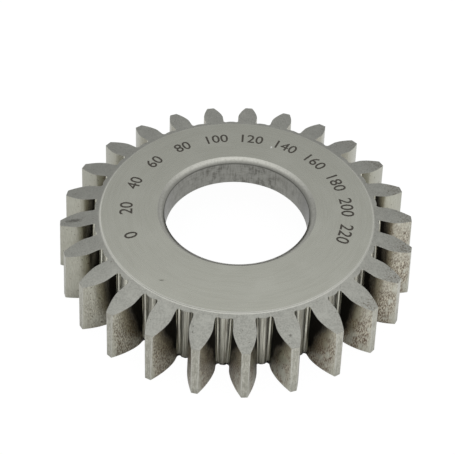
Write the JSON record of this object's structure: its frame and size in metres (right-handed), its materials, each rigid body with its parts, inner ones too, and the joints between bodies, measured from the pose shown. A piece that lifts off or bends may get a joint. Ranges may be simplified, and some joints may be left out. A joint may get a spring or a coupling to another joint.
{
  "type": "gear shaper cutter",
  "caption": "Disk-type straight-tooth gear shaper cutter with relief-ground involute teeth, a plain ground back, a recessed cutting side and a precision bore.",
  "frame": {"origin": "on the bore axis, in the plane of the tips of the cutting edges, which the cutter rests on", "axes": "+Z along the bore axis, from the cutting side to the back that seats on the machine's spindle; +X through the middle of one tooth"},
  "size_m": [0.1107, 0.1108, 0.0197],
  "materials": {
    "tool_steel": "ground high speed steel, bright on the back, the rake and the lands, and stained brown on the tooth flanks"
  },
  "bodies": {
    "root": {"shaper_cutter": "tool_steel"}
  },
  "joints": []
}
